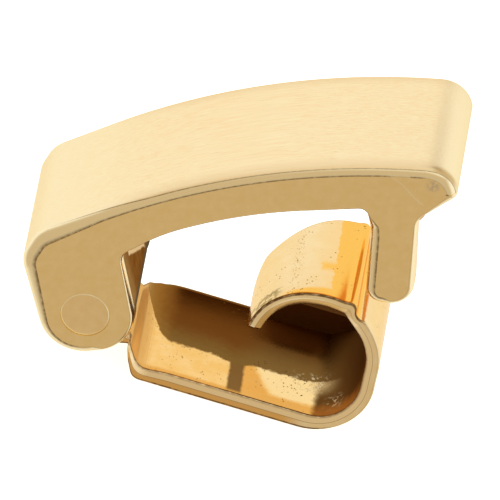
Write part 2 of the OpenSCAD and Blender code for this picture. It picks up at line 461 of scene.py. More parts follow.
def lathe(profile, at):
    """Points and rings of a profile of (radius, y), turned about an axis along Y through at (x, z)."""
    points = []
    rings = []
    for r, y in profile:
        ring = circle(r)
        rings.append([len(points) + i for i in range(len(ring))])
        points += [(at[0] + px, y, at[1] + pz) for px, pz in ring]
    return points, rings


# Cover


def cover_arcs():
    """Rows of the cover's outline, each with the rows beside it and its rounded corner."""
    count = len(COVER_OUTLINE)
    for i, row in enumerate(COVER_OUTLINE):
        before = COVER_OUTLINE[i - 1]
        after = COVER_OUTLINE[(i + 1) % count]
        yield before, row, after, corner(before, row, after, row[2])


def cover_ring(shares):
    """The cover's outline, each point moved inwards by its share of the edge rounding."""
    out = []
    for before, row, after, arc in cover_arcs():
        for j in range(len(arc)):
            share = shares[len(out)]
            d = share * row[3] if share <= 1 else row[3] + (share - 1) * FACE_INSET
            out.append(corner(before, row, after, row[2], d)[j])
    return np.array(out)


def edge_rings(end_angle):
    """Rings of the rounding round a face, from the outline in: outlines and their distances across."""
    rings = []
    for place in EDGE_PLACES:
        past_satin = end_angle + (90 - end_angle) * (place - 1)
        angle = np.radians(end_angle * place if place <= 1 else past_satin)
        rings.append((cover_ring(1 - np.cos(angle)), COVER_W / 2 - EDGE_R * (1 - np.sin(angle))))
    count = len(end_angle)
    rings.append((cover_ring(np.full(count, 2.0)), np.full(count, COVER_W / 2)))
    return rings


def slot_outline():
    """Room for the knuckle between the ears, round above and open below."""
    reach = EAR_R + 2
    roof_r = KNUCKLE_R + ROOF_GAP
    side = math.asin(SLOT_MOUTH_H / roof_r)
    roof = [(roof_r * math.cos(a), roof_r * math.sin(a)) for a in np.linspace(-side, math.pi + side, 100)]
    return [(-reach, -reach), (reach, -reach), (reach, -SLOT_MOUTH_H), *roof, (-reach, -SLOT_MOUTH_H)]


def room_outline():
    """Room between the two lugs."""
    start, end = LUG_ROOM
    below = -EAR_R - 2
    return [(start, below), (end, below), (end, LUG_ROOF_H), (start, LUG_ROOF_H)]


def make_cover():
    satin_rows = np.array([row[4] for _, row, _, arc in cover_arcs() for _ in arc], float)
    base = cover_ring(np.zeros(len(satin_rows)))
    along, degrees = zip(*SATIN_EDGE)
    end_angle = np.where(satin_rows > 0, np.interp(base[:, 0], along, degrees), PLAIN_EDGE_ANGLE)
    rings = edge_rings(end_angle)
    points = []
    numbers = []
    for side in (-1, 1):
        for ring, across in rings[::-1] if side < 0 else rings:
            numbers.append([len(points) + i for i in range(len(ring))])
            points += [(p[0], side * y, p[1]) for p, y in zip(ring, across)]
    obj = new_object("arched_cover", points, upright_solid(numbers))
    slot = prism("slot", slot_outline(), SLOT_W / 2)
    room = prism("room", room_outline(), COVER_W / 2 - LUG_T)
    bore = prism("bore", circle(PIN_R + PIN_SEAT_GAP), COVER_W)
    cut(obj, [slot, room, bore])
    finish_cover(obj.data, base, satin_rows, end_angle)
    soften(obj.data, 38)
    to_metres(obj)
    return obj


def finish_cover(mesh, base, satin_rows, end_angle):
    """Stores where each point lies, then turns the cover open about the pin."""
    at = coordinates(mesh)
    plane = at[:, [0, 2]]
    nearest = np.array([np.linalg.norm(base - p, axis=1).argmin() for p in plane])
    to_outline = np.linalg.norm(plane - base[nearest], axis=1)
    ring = cover_ring(np.ones(len(base)))
    to_ring = np.array([np.linalg.norm(ring - p, axis=1).min() for p in plane])
    depth = COVER_W / 2 - np.abs(at[:, 1])
    angle = np.degrees(np.arcsin(np.clip(1 - depth / EDGE_R, 0, 1)))
    end = end_angle[nearest]
    place = np.where(angle < end, angle / end, 1 + (angle - end) / (90 - end))
    # On the flat face, the border is at place 2 and the rest at 3
    on_border = to_ring < 0.002
    place = np.where(depth < 1e-4, np.where(on_border, 2.0, 3.0), place)
    # The walls of the cuts lie away from the outline and have no satin
    satin = satin_rows[nearest] * (to_outline < 0.7)
    line = satin * smooth_step(end, 8, 20)
    set_vectors(mesh, "finish", np.stack([place, satin, line], 1))
    set_vectors(mesh, "rail", at)
    u = at[:, 0]
    v = at[:, 2]
    cos = math.cos(OPEN_ANGLE)
    sin = math.sin(OPEN_ANGLE)
    set_coordinates(mesh, np.stack([u * cos - v * sin - PIN_BACK, at[:, 1], u * sin + v * cos + PIN_Z], 1))


# Rivet


def make_rivet():
    """Pin whose two ends are turned flat with a slightly broken rim."""
    half = COVER_W / 2
    seat = PIN_R + PIN_SEAT_GAP - 0.001
    # Radius and distance in from the cover's face. The pin fills its seat but for the rim.
    end = [(0.02, 0), (0.6, 0), (PIN_R - 0.08, 0), (PIN_R - 0.03, 0.018), (PIN_R, 0.04), (seat, 0.055)]
    end += [(seat, 0.2), (PIN_R, 0.25)]
    profile = [(r, -half + y) for r, y in end] + [(r, half - y) for r, y in reversed(end)]
    points, rings = lathe(profile, (-PIN_BACK, PIN_Z))
    obj = new_object("rivet", points, upright_solid(rings))
    to_metres(obj)
    return obj


# Spring strip


def spans(table, counts):
    """Path of a table, resampled between the middles of its rounded corners."""
    halves = []
    current = [np.array(table[0][:2], float)]
    for i in range(1, len(table) - 1):
        arc = corner(table[i - 1], table[i], table[i + 1], table[i][2])
        middle = len(arc) // 2
        current += arc[: middle + 1]
        halves.append(current)
        current = list(arc[middle:])
    current.append(np.array(table[-1][:2], float))
    halves.append(current)
    out = [resampled(half, count)[:-1] for half, count in zip(halves, counts)]
    return np.concatenate(out + [np.array([table[-1][:2]], float)])


class Sheet:
    """The bent sheet: both of its surfaces at each distance along the blank."""

    def __init__(self):
        counts = [10, 16, 24, 14]
        self.outside = np.concatenate([spans(WEB_UNDER, counts), open_path(CURL_OUTER)[1:]])
        self.inside = np.concatenate([spans(WEB_TOP, counts), open_path(CURL_OUTER, STRIP_T)[1:]])
        self.middle = (self.outside + self.inside) / 2
        self.at = np.r_[0, np.cumsum(np.linalg.norm(np.diff(self.middle, axis=0), axis=1))]
        self.length = self.at[-1]
        self.rib = self.nearest(RIB_AT)
        self.groove = self.nearest(GROOVE_AT)
        self.plate_end = self.nearest([TROUGH_END, 0])

    def nearest(self, point):
        """Distance along the blank where its outside comes nearest to a point."""
        fine = np.linspace(0, self.length, 4000)
        x = np.interp(fine, self.at, self.outside[:, 0])
        z = np.interp(fine, self.at, self.outside[:, 1])
        return fine[np.hypot(x - point[0], z - point[1]).argmin()]

    def along(self, x):
        """Distance along the blank where the web or the plate reaches x."""
        fine = np.linspace(0.0, self.plate_end + 1, 2000)
        return fine[np.abs(self.x_at(fine) - x).argmin()]

    def height(self, s):
        return np.interp(s, self.at, self.middle[:, 1])

    def x_at(self, s):
        return np.interp(s, self.at, self.middle[:, 0])

    def surfaces(self, s):
        """The outside at distances along the blank, and the way through the sheet from there."""
        low = np.stack([np.interp(s, self.at, self.outside[:, k]) for k in (0, 1)], 1)
        high = np.stack([np.interp(s, self.at, self.inside[:, k]) for k in (0, 1)], 1)
        return low, high - low

    def relief(self, s, y, share):
        """How far inwards the rib, the groove and the trough move a point of either surface."""
        rib = RIB_RISE * np.exp(-(((s - self.rib) / RIB_SPREAD) ** 2))
        near = np.clip(GROOVE_R**2 - (s - self.groove) ** 2, 0, None)
        groove = np.clip(np.sqrt(near) - (GROOVE_R - GROOVE_D), 0, None)
        plate = smooth_step(s, *(self.along(x) for x in TROUGH_START))
        plate *= 1 - smooth_step(s, self.plate_end - 0.8, self.plate_end + 0.9)
        edge = (STRIP_W / 2) ** 2 / (2 * TROUGH_R)
        trough = y**2 / (2 * TROUGH_R) - edge + (PLATE_EDGE_T - STRIP_T)
        return (groove - rib) * (1 - share) + plate * trough * share

    def place(self, s, y, share):
        """Points of the sheet: share is 0 on the outside or underside and 1 on the inside or top."""
        low, through = self.surfaces(s)
        thick = np.linalg.norm(through, axis=1)
        at = low + through * (share + self.relief(s, y, share) / thick)[:, None]
        return np.stack([at[:, 0] - PIN_BACK, y, at[:, 1]], 1)


def curl_side(sheet, s, side):
    """Half width of the strip at distances along the blank, on one side."""
    tongue = TONGUE_SIDE[side]
    # Columns: distance along, half width, corner radius
    table = [
        [13.7, STRIP_W / 2, 0],
        [13.07, STRIP_W / 2, 2],
        [11.36, 3.43, 5],
        [9.5, 3.1, 5],
        [7.87, tongue, 1],
        [5.87, tongue, 0],
    ]
    edge = open_path(table)
    order = np.argsort(edge[:, 0])
    width = np.interp(sheet.x_at(s), edge[order, 0], edge[order, 1])
    past_bend = (s > sheet.plate_end) & (sheet.height(s) > TAPER_Z) | (s > sheet.groove)
    return np.where(past_bend, width, STRIP_W / 2)


def tip_outline(sheet, end):
    """Edge of the blank round the tongue's tip."""
    near = TONGUE_SIDE["near"]
    far = TONGUE_SIDE["far"]
    back = 6
    table = [
        [end - back, -near - back * TIP_FLARE, 0],
        [end, -near, TIP_R["near"]],
        [end, far, TIP_R["far"]],
        [end - back, far + back * TIP_FLARE, 0],
    ]
    tip = refined(open_path(table), 0.1)
    tip = tip[tip[:, 0] > end - TIP_LENGTH]
    low = -curl_side(sheet, tip[:, 0], "near")
    high = curl_side(sheet, tip[:, 0], "far")
    tip[:, 1] = np.clip(tip[:, 1], low, high)
    return tip


def blank_outline(sheet):
    """The blank's edge before bending, as distance along and across, counter-clockwise from the knuckle."""
    start = 0.05
    web = KNUCKLE_W / 2
    side = STRIP_W / 2
    end = sheet.length - TIP_WEAR
    step = sheet.along(SHOULDER_X)
    on_plate = sheet.along(PLATE_X)
    shoulder = [
        [start, 0, 0],
        [start, -web, 0.4],
        [step, -web, 0.02],
        [step, -side, SHOULDER_R],
        [on_plate, -side, 0],
    ]
    back_to_start = [[sheet.along(0.75), web, 0], [start, web, 0.4], [start, 0, 0]]
    along = np.linspace(on_plate, end - TIP_LENGTH, 300)
    near = np.stack([along, -curl_side(sheet, along, "near")], 1)
    far = np.stack([along, curl_side(sheet, along, "far")], 1)[::-1]
    far_corner = np.array([[sheet.along(x), y] for x, y in open_path(FAR_CORNER)[::-1]])
    parts = [open_path(shoulder), near[1:-1], tip_outline(sheet, end), far[1:-1], far_corner]
    outline = np.concatenate([*parts, open_path(back_to_start)[:-1]])
    outline = refined(np.concatenate([outline, outline[:1]]), EDGE_STEP)[:-1]
    gaps = np.linalg.norm(outline - np.roll(outline, 1, axis=0), axis=1)
    return outline[gaps > 2e-3]


def left_of(steps):
    return np.stack([-steps[:, 1], steps[:, 0]], 1)


def inset(outline, d):
    """The closed outline moved inwards by d."""
    before = outline - np.roll(outline, 1, axis=0)
    after = np.roll(outline, -1, axis=0) - outline
    before /= np.linalg.norm(before, axis=1)[:, None]
    after /= np.linalg.norm(after, axis=1)[:, None]
    scale = np.clip(1 + (before * after).sum(1), 0.4, None)
    return outline + (d / scale)[:, None] * (left_of(before) + left_of(after))


def filled(outline, stations):
    """Triangles that fill a closed outline, with a grid of points inside it."""
    grid_s = np.array(sorted(set(np.round(stations, 4))))
    grid_y = np.arange(outline[:, 1].min() + FILL_STEP / 2, outline[:, 1].max(), FILL_STEP)
    inner = inset(outline, 0.07)
    points = [Vector(p) for p in outline]
    for s in grid_s:
        crossing = []
        for a, b in zip(inner, np.roll(inner, -1, axis=0)):
            if (a[0] - s) * (b[0] - s) < 0:
                crossing.append(a[1] + (b[1] - a[1]) * (s - a[0]) / (b[0] - a[0]))
        crossing.sort()
        for first, last in zip(crossing[::2], crossing[1::2]):
            points += [Vector((s, y)) for y in grid_y if first < y < last]
    edges = [(i, (i + 1) % len(outline)) for i in range(len(outline))]
    made = delaunay_2d_cdt(points, edges, [], 1, 1e-6)
    return np.array([tuple(p) for p in made[0]]), made[2]


class Shell:
    """The strip's mesh in the making: each point has its place in the finish and on the blank."""

    def __init__(self, sheet):
        self.sheet = sheet
        self.points = []
        self.faces = []
        self.finish = []
        self.blank = []

    def extend(self, points, finish, blank):
        """Adds points and returns their numbers."""
        first = len(self.points)
        self.points.extend(points)
        self.finish.extend(finish)
        self.blank.extend(blank)
        return list(range(first, len(self.points)))

    def add(self, s, y, share, place):
        """Adds points of the bent sheet and returns their numbers."""
        finish = [(place, one, 0) for one in share]
        return self.extend(self.sheet.place(s, y, share), finish, np.stack([s, y, share], 1))

    def add_ring(self, outline, rolled, row):
        """Adds a ring of the edge. Returns it flat, and the numbers of its points."""
        move, depth, place = row
        wider = 1 + rolled * (place > 2)
        ring = inset(outline, move * wider)
        s = np.clip(ring[:, 0], 0.0, self.sheet.length)
        thick = np.linalg.norm(self.sheet.surfaces(s)[1], axis=1)
        share = 1 - depth * wider / thick if place >= 2 else -depth / thick
        return ring, self.add(s, ring[:, 1], share, place)

    def fill(self, ring, numbers, share, place):
        """Fills the underside, where share is 0, or the top, where it is 1."""
        flat, triangles = filled(ring, fill_stations(self.sheet))
        extra = flat[len(ring) :]
        numbers = numbers + self.add(extra[:, 0], extra[:, 1], np.full(len(extra), share), place)
        for triangle in triangles:
            corners = [numbers[i] for i in triangle]
            self.faces.append(tuple(corners) if share else tuple(reversed(corners)))


def fill_stations(sheet):
    """Distances along the blank of the points inside its edge, closer at the groove and the rib."""
    first = sheet.groove - 0.5
    last = sheet.rib + 0.45
    stations = [s for s in refined(sheet.at[:, None], 0.2)[:, 0] if not first < s < last]
    stations += list(np.arange(first, last, 0.03))
    return [s for s in stations if 0.12 < s < sheet.length - TIP_WEAR - 0.1]


def make_strip(sheet):
    outline = blank_outline(sheet)
    along = outline[:, 0]
    rolled = smooth_step(outline[:, 1], *ROLL_ACROSS)
    rolled *= smooth_step(along, *(sheet.along(x) for x in ROLL_START))
    rolled *= 1 - smooth_step(along, *(sheet.along(x) for x in ROLL_END))
    shell = Shell(sheet)
    rings = [shell.add_ring(outline, rolled, row) for row in STRIP_RINGS]
    shell.faces += loft([numbers for _, numbers in rings])
    shell.fill(*rings[0], 0.0, STRIP_RINGS[0][2])
    shell.fill(*rings[-1], 1.0, STRIP_RINGS[-1][2])
    add_lip(shell)
    add_knuckle(shell)
    obj = new_object("spring_strip", shell.points, shell.faces, 42)
    set_vectors(obj.data, "finish", shell.finish)
    set_vectors(obj.data, "blank", shell.blank)
    to_metres(obj)
    return obj


def add_lip(shell):
    """Lip that closes the far end of the hollow under the curl up to the line of sight."""
    # The lip is coloured near black in the strip's material: painted shade
    outline = refined(open_path(LIP_SIDE), 0.2)[::-1]
    side = STRIP_W / 2
    rings = []
    for move, across in LIP_EDGE + [(move, STRIP_T - across) for move, across in reversed(LIP_EDGE)]:
        ring = inset(outline, move)
        points = [(x - PIN_BACK, side - STRIP_T + across, z) for x, z in ring]
        blank = [(x + LIP_ALONG, side + z - LIP_FOOT, 1.0) for x, z in ring]
        rings.append(shell.extend(points, [(4, 1, 0)] * len(ring), blank))
    shell.faces += [tuple(reversed(f)) for f in upright_solid(rings)]


def add_knuckle(shell):
    """The rolled knuckle round the pin: a tube that the web runs into."""
    half = KNUCKLE_W / 2
    bore = PIN_R + PIN_RUN_GAP
    # Radius and distance across of one end, from its outside in
    end = [(KNUCKLE_R, -half + 0.08), (KNUCKLE_R - 0.03, -half + 0.02), (KNUCKLE_R - 0.08, -half)]
    end += [(bore + 0.05, -half), (bore, -half + 0.05)]
    points, rings = lathe(end + [(r, -y) for r, y in reversed(end)], (-PIN_BACK, PIN_Z))
    numbers = shell.extend(points, [(-1, 0, 0)] * len(points), [(-1.0, p[1], 0.0) for p in points])
    rings = [[numbers[i] for i in ring] for ring in rings]
    shell.faces += loft(rings + rings[:1])


# Node expressions


class Value:
    """A socket in an expression. Operators add Math nodes."""

    def __init__(self, tree, socket):
        self.tree = tree
        self.socket = socket

    def math(self, operation, *others):
        inputs = dict(enumerate([self, *others]))
        return self.tree.add("ShaderNodeMath", {"operation": operation}, inputs)[0]

    def __add__(self, other):
        return self.math("ADD", other)

    __radd__ = __add__

    def __sub__(self, other):
        return self.math("SUBTRACT", other)

    def __rsub__(self, other):
        return self.tree.add("ShaderNodeMath", {"operation": "SUBTRACT"}, {0: other, 1: self})[0]

    def __mul__(self, other):
        return self.math("MULTIPLY", other)

    __rmul__ = __mul__

    def __pow__(self, other):
        return self.math("POWER", other)

    def abs(self):
        return self.math("ABSOLUTE")

    def maximum(self, other):
        return self.math("MAXIMUM", other)

    def above(self, low, high):
        """Runs smoothly from 0 at low to 1 at high."""
        settings = {"interpolation_type": "SMOOTHSTEP", "clamp": True}
        inputs = {"Value": self, "From Min": low, "From Max": high, "To Min": 0.0, "To Max": 1.0}
        return self.tree.add("ShaderNodeMapRange", settings, inputs)["Result"]

    def below(self, low, high):
        """Runs smoothly from 1 at low to 0 at high."""
        return 1 - self.above(low, high)

    def within(self, low, high, start, end):
        """Rises from low to high and falls again from start to end."""
        return self.above(low, high) * self.below(start, end)

    def near(self, middle, width):
        """1 at middle, falling smoothly to 0 at width to either side."""
        return (self - middle).abs().below(0.0, width)


class Added:
    """A node that was added, whose outputs are read by number or name."""

    def __init__(self, tree, node):
        self.tree = tree
        self.node = node

    def __getitem__(self, key):
        return Value(self.tree, self.node.outputs[key])


class Tree:
    """A node tree and the one way in which nodes are added to it."""

    def __init__(self, node_tree):
        self.nodes = node_tree.nodes
        self.links = node_tree.links
        self.nodes.clear()

    def add(self, kind, settings=None, inputs=None):
        """Adds a node of a type: its settings, then the values or links of its sockets."""
        node = self.nodes.new(kind)
        for name, setting in (settings or {}).items():
            setattr(node, name, setting)
        for key, value in (inputs or {}).items():
            if isinstance(value, Value):
                self.links.new(value.socket, node.inputs[key])
            else:
                node.inputs[key].default_value = value
        return Added(self, node)

    def attribute(self, name):
        return self.add("ShaderNodeAttribute", {"attribute_name": name})["Vector"]

    def split(self, vector):
        node = self.add("ShaderNodeSeparateXYZ", {}, {0: vector})
        return node[0], node[1], node[2]

    def scaled(self, vector, scale):
        return self.add("ShaderNodeVectorMath", {"operation": "MULTIPLY"}, {0: vector, 1: scale})[0]

    def noise(self, vector, scale, detail=3.0, roughness=0.5):
        inputs = {"Vector": vector, "Scale": scale, "Detail": detail, "Roughness": roughness}
        return self.add("ShaderNodeTexNoise", {}, inputs)["Fac"]

    def cells(self, vector, scale):
        return self.add("ShaderNodeTexVoronoi", {}, {"Vector": vector, "Scale": scale})["Distance"]

    def mix(self, share, a, b):
        """Colour a where share is 0 and colour b where it is 1."""
        a = (*a, 1) if isinstance(a, tuple) else a
        b = (*b, 1) if isinstance(b, tuple) else b
        settings = {"data_type": "RGBA", "clamp_factor": True}
        return self.add("ShaderNodeMix", settings, {0: share, 6: a, 7: b})[2]

    def coats(self, colour, *coats):
        """Lays coats over a colour, each a share and its own colour."""
        for share, over in coats:
            colour = self.mix(share, colour, over)
        return colour

    def bump(self, height, strength, distance):
        inputs = {"Height": height, "Strength": strength, "Distance": distance}
        return self.add("ShaderNodeBump", {}, inputs)["Normal"]

    def output(self, kind="ShaderNodeBsdfPrincipled", **inputs):
        """Ends the tree with a shader of that kind."""
        shader = self.add(kind, {}, {key.replace("_", " "): value for key, value in inputs.items()})
        out = "ShaderNodeOutputWorld" if kind == "ShaderNodeBackground" else "ShaderNodeOutputMaterial"
        self.add(out, {}, {"Surface": shader[0]})


def new_material(name):
    material = bpy.data.materials.new(name)
    material.use_nodes = True
    return material, Tree(material.node_tree)


# Materials


class CoverPlaces:
    """Where a point lies on the cover, as values that its coats share."""

    def __init__(self, tree):
        self.place, self.satin_part, self.line_part = tree.split(tree.attribute("finish"))
        self.rail = tree.attribute("rail")
        self.u, self.y, self.v = tree.split(self.rail)
        self.plain_part = 1 - self.satin_part
        self.satin = self.satin_part * self.place.below(0.86, 1.0)
        self.under = self.plain_part * self.place.below(0.2, 0.7)
        self.ear_side = self.under * self.u.within(1.0, 1.6, 2.5, 2.9)
        self.brushed = tree.noise(tree.scaled(self.rail, (0.35, 14.0, 14.0)), 1.0, 4.0, 0.6)
        self.mottle = tree.noise(self.rail, 2.2, 5.0, 0.6)


def satin_gilt(tree, at):
    """Satin top: brush lines along it, paler towards both ends as a painted highlight, with painted shade:
    duller towards the faces and on its right end.
    """
    u = at.u
    broad = tree.noise(tree.scaled(at.rail, (0.5, 1.5, 1.5)), 1.0, 3.0)
    scores = tree.noise(tree.scaled(at.rail, (0.6, 24.0, 24.0)), 1.0, 2.0).above(0.60, 0.68)
    scores = scores * u.within(1.0, 4.0, 13.0, 16.0)
    fade = at.y.abs().above(2.9, 3.8) * u.above(1.0, 6.0)
    from_shade = ((u - 17.7) ** 2.0 + ((at.v - 4.3) * 0.7) ** 2.0).math("SQRT")
    shade = from_shade.below(0.25, 0.75) * at.y.below(-3.7, -3.3)
    return tree.coats(
        tree.mix(at.brushed.above(0.3, 0.7), *SATIN_BRUSHED),
        (broad.above(0.35, 0.75) * 0.5, SATIN_BROAD),
        (u.below(-2.0, 6.0) * 0.6, SATIN_PALE_HIGHLIGHT),
        (scores * 0.35, SATIN_SCORE),
        (fade * 0.7, SATIN_FADE_SHADE),
        (u.above(16.8, 18.0) * 0.7, SATIN_PALE_HIGHLIGHT),
        (shade * 0.85, SATIN_SHADE),
    )


def ear_painted_shade(tree, at):
    """Painted shade, brown, on the side of the ears that looks at the step, with a painted highlight patch
    between them.
    """
    light = (at.v + 0.5 * at.y + 0.3 * (at.mottle - 0.5)).above(0.50, 0.62)
    light = light * at.y.within(-2.5, -2.2, 1.0, 1.4)
    return tree.coats(
        tree.mix(tree.noise(at.rail, 0.9, 3.0).above(0.35, 0.7), *EAR_SHADE),
        (at.y.below(-3.2, -1.9) * 0.6, EAR_NEAR_SHADE),
        (light, EAR_HIGHLIGHT),
        (at.v.below(-0.30, -0.05), EAR_FOOT_SHADE),
    )


def polished_gilt(tree, at):
    """Polished band, faces and underside: a painted sheen on the band, and a painted warm reflection on the
    underside, redder towards the lug; the ears' inner side gets painted shade.
    """
    return tree.coats(
        tree.mix(at.mottle.above(0.3, 0.75), *POLISHED),
        (at.place.below(1.85, 2.0), POLISHED_BAND_SHEEN),
        (at.under, POLISHED_UNDER_REFLECTION),
        (at.under * at.u.above(9.0, 12.0), POLISHED_LUG_REFLECTION),
        (at.ear_side, ear_painted_shade(tree, at)),
    )


def cover_lines(tree, at):
    """Lines round the face: the brown one below the satin, a painted highlight line and the grimy one."""
    u = at.u
    uneven = tree.noise(at.rail, 5.0, 3.0).above(0.25, 0.6)
    brown = at.place.near(1.0, 0.13) * at.line_part * (0.5 + 0.25 * uneven)
    # The grimy line is worn off at the right of the lug and the ear, at the foot and at the end
    lug_right = (u - 0.28 * at.v).above(14.0, 14.3) * at.plain_part
    ear_right = u.within(1.4, 1.8, 2.7, 3.2) * at.plain_part
    foot = at.v.below(-1.75, -1.4)
    at_end = u.above(14.8, 15.6)
    worn = 1 - 0.8 * lug_right.maximum(ear_right).maximum(foot).maximum(at_end)
    dash = u.within(16.1, 16.2, 16.75, 16.95) * at.v.above(4.4, 4.5)
    grimy = at.place.near(2.03, 0.3) * (0.35 + 0.5 * uneven) * worn.maximum(dash)
    # Painted highlight line, brighter towards the end
    bright = at.place.near(1.86, 0.16) * at.satin_part * (0.5 + 0.4 * at_end)
    return brown, bright, grimy


def end_marks(tree, at):
    """A scratch and a grey stain at the right end of the near face."""
    near_face = at.y.below(-4.0, -3.9)
    from_scratch = (at.v + 1.66 * at.u - 30.29 + 0.7 * (at.mottle - 0.5)).abs()
    scratch = from_scratch.below(0.02, 0.06) * near_face
    scratch = scratch * at.u.within(15.2, 15.25, 16.35, 16.42)
    from_stain = ((at.u - 17.04) ** 2.0 + (at.v - 3.98) ** 2.0).math("SQRT")
    stain = from_stain.below(0.1, 0.42) * near_face
    return scratch, stain * tree.noise(at.rail, 6.0).above(0.3, 0.6)


def cover_material():
    """Satin along the top, polished band and faces, grime in the lines round the faces, and painted
    highlights, reflections and shade.
    """
    material, tree = new_material("cover_gilding")
    at = CoverPlaces(tree)
    brown_line, highlight_line, grimy_line = cover_lines(tree, at)
    scratch, stain = end_marks(tree, at)
    colour = tree.coats(
        polished_gilt(tree, at),
        (at.satin, satin_gilt(tree, at)),
        (brown_line, LINE_BROWN),
        (highlight_line, LINE_HIGHLIGHT),
        (grimy_line, LINE_GRIME),
        (scratch * 0.6, SCRATCH),
        (stain * 0.5, STAIN),
    )
    satin_roughness = at.satin * (0.13 + 0.08 * at.u.above(16.6, 17.2))
    roughness = 0.17 + satin_roughness + at.mottle * 0.06 + grimy_line * 0.3 + 0.2 * at.ear_side
    height = at.brushed * at.satin + 0.1 * at.mottle - 0.6 * grimy_line
    tree.output(
        Base_Color=colour,
        Roughness=roughness,
        # The ears' inner side is not metal, so that its painted shade stays brown
        Metallic=1 - at.ear_side,
        Specular_IOR_Level=0.0,
        Specular_Tint=(1.0, 0.88, 0.66, 1),
        Normal=tree.bump(height, 0.25, 0.00003),
    )
    return material


def rivet_material():
    """Polished gilt, slightly mottled, with a painted highlight on its rim."""
    material, tree = new_material("rivet_gilding")
    at = tree.add("ShaderNodeTexCoord")["Object"]
    mottle = tree.noise(at, 2500.0, 4.0)
    # In metres: the flat ends lie 4 mm out, and the rim round them lies lower
    _, across, _ = tree.split(at)
    face = (across.abs() - 0.00399).above(-0.000004, 0.0)
    colour = tree.mix(mottle.above(0.3, 0.7), *RIVET_GILT)
    tree.output(
        Base_Color=tree.mix(face, RIVET_RIM_HIGHLIGHT, colour),
        Roughness=0.18 + 0.08 * mottle,
        Metallic=1.0,
        Normal=tree.bump(mottle, 0.15, 0.00002),
    )
    return material


class StripPlaces:
    """Where a point lies on the strip, as values that its coats share."""

    def __init__(self, tree, sheet):
        self.place, share, _ = tree.split(tree.attribute("finish"))
        self.blank = tree.attribute("blank")
        s, y, _ = tree.split(self.blank)
        # Distance along the plate from the pin's axis
        x = s - (sheet.along(PLATE_X) - PLATE_X)
        ragged = tree.noise(self.blank, 3.2, 4.0, 0.6) - 0.5
        inside = share.above(0.4, 0.6)
        self.s = s
        self.y = y
        self.x = x
        self.ragged = ragged
        self.inside = inside
        self.edge = self.place.within(0.0, 0.4, 2.9, 3.0)
        self.mottle = tree.noise(self.blank, 1.4, 5.0, 0.6)
        # The ragged border along the plate, and the far half beyond it, painted brown as a dark reflection
        self.border = y + 0.75 - 3.2 * x.below(2.3, 4.2) + 0.3 * x.near(7.3, 1.0) + 0.45 * ragged
        self.beyond = self.border.above(-0.1, 0.12) * x.above(2.0, 2.6)
        # Painted shade in the hollow under the curl, a painted dark mirror image of the lip in it, and
        # painted shade on the lip
        upper = y.above(-2.2, -0.9)
        self.hollow = (x + 0.3 * ragged).above(11.05, 11.5) * (1 - upper) + x.above(10.6, 12.8) * upper
        self.deep = (y + 0.3 * ragged).above(1.1, 2.0) * x.within(7.6, 8.6, 10.6, 12.0)
        self.lip = y.above(3.85, 4.0)
        # Painted light on the rise of the step and on the plate's far rim
        self.riser_highlight = x.within(1.5, 1.8, 3.0, 3.6) * inside * (1 - self.beyond)
        self.far_rim_highlight = y.above(3.52, 3.6) * (1 - self.lip) * x.within(2.2, 2.6, 7.4, 8.0) * inside
        # Painted glints in the bend, by the border and near the near edge
        painted_glints = x.near(11.0, 1.3) * self.border.near(-0.2, 1.2)
        painted_glints = painted_glints.maximum(x.near(12.3, 0.7) * y.near(-2.6, 0.9))
        self.painted_glints = painted_glints * tree.noise(self.blank, 5.5, 3.0, 0.6).above(0.53, 0.62)


def outside_gilt(tree, sheet, at):
    """Outside: cream, with painted warm and orange reflections towards the rib and along the near edge, worn
    at the tip.
    """
    s = at.s
    past_rib = s + 0.35 * at.ragged
    warm = past_rib.below(sheet.rib + 0.95, sheet.rib + 2.2) * s.above(sheet.rib - 0.1, sheet.rib)
    tongue = past_rib.below(sheet.rib + 1.45, sheet.rib + 1.6) * at.y.near(-0.75, 0.55)
    stripe = (at.y + 2.55 + 0.2 * at.ragged).below(-0.12, 0.12)
    stripe = stripe * s.below(sheet.rib + 2.4, sheet.rib + 3.4)
    orange = past_rib.below(sheet.rib + 0.9, sheet.rib + 1.0).maximum(tongue).maximum(stripe)
    orange = orange * s.above(sheet.groove - 0.25, sheet.groove - 0.05)
    tip = sheet.length - TIP_WEAR
    worn = (at.y + 1.9 + 0.5 * at.ragged).below(-0.1, 0.1) * s.above(tip - 2.6, tip - 2.0)
    worn = worn * (at.ragged * 4 + 0.25).above(0.0, 0.3)
    return tree.coats(
        tree.mix(at.mottle.above(0.3, 0.75), *OUTSIDE_CREAM),
        (warm * 0.6, OUTSIDE_WARM_REFLECTION),
        (orange * 0.9, OUTSIDE_ORANGE_REFLECTION),
        (worn * 0.75, OUTSIDE_WORN),
    )


def far_painted_reflection(tree, at):
    """Painted dark reflection, brown, on the far half: redder by the step, with painted shade darker under
    the curl.
    """
    shaded = tree.mix(at.y.above(-0.5, 2.0), *FAR_SHADED)
    return tree.coats(
        tree.mix((at.border + 0.5 * at.ragged).above(0.2, 1.9), *FAR_DARK_REFLECTION),
        ((at.x + 0.6 * at.ragged).below(3.0, 4.6) * 0.8, FAR_BY_STEP_REFLECTION),
        (at.x.above(7.0, 9.2), shaded),
    )


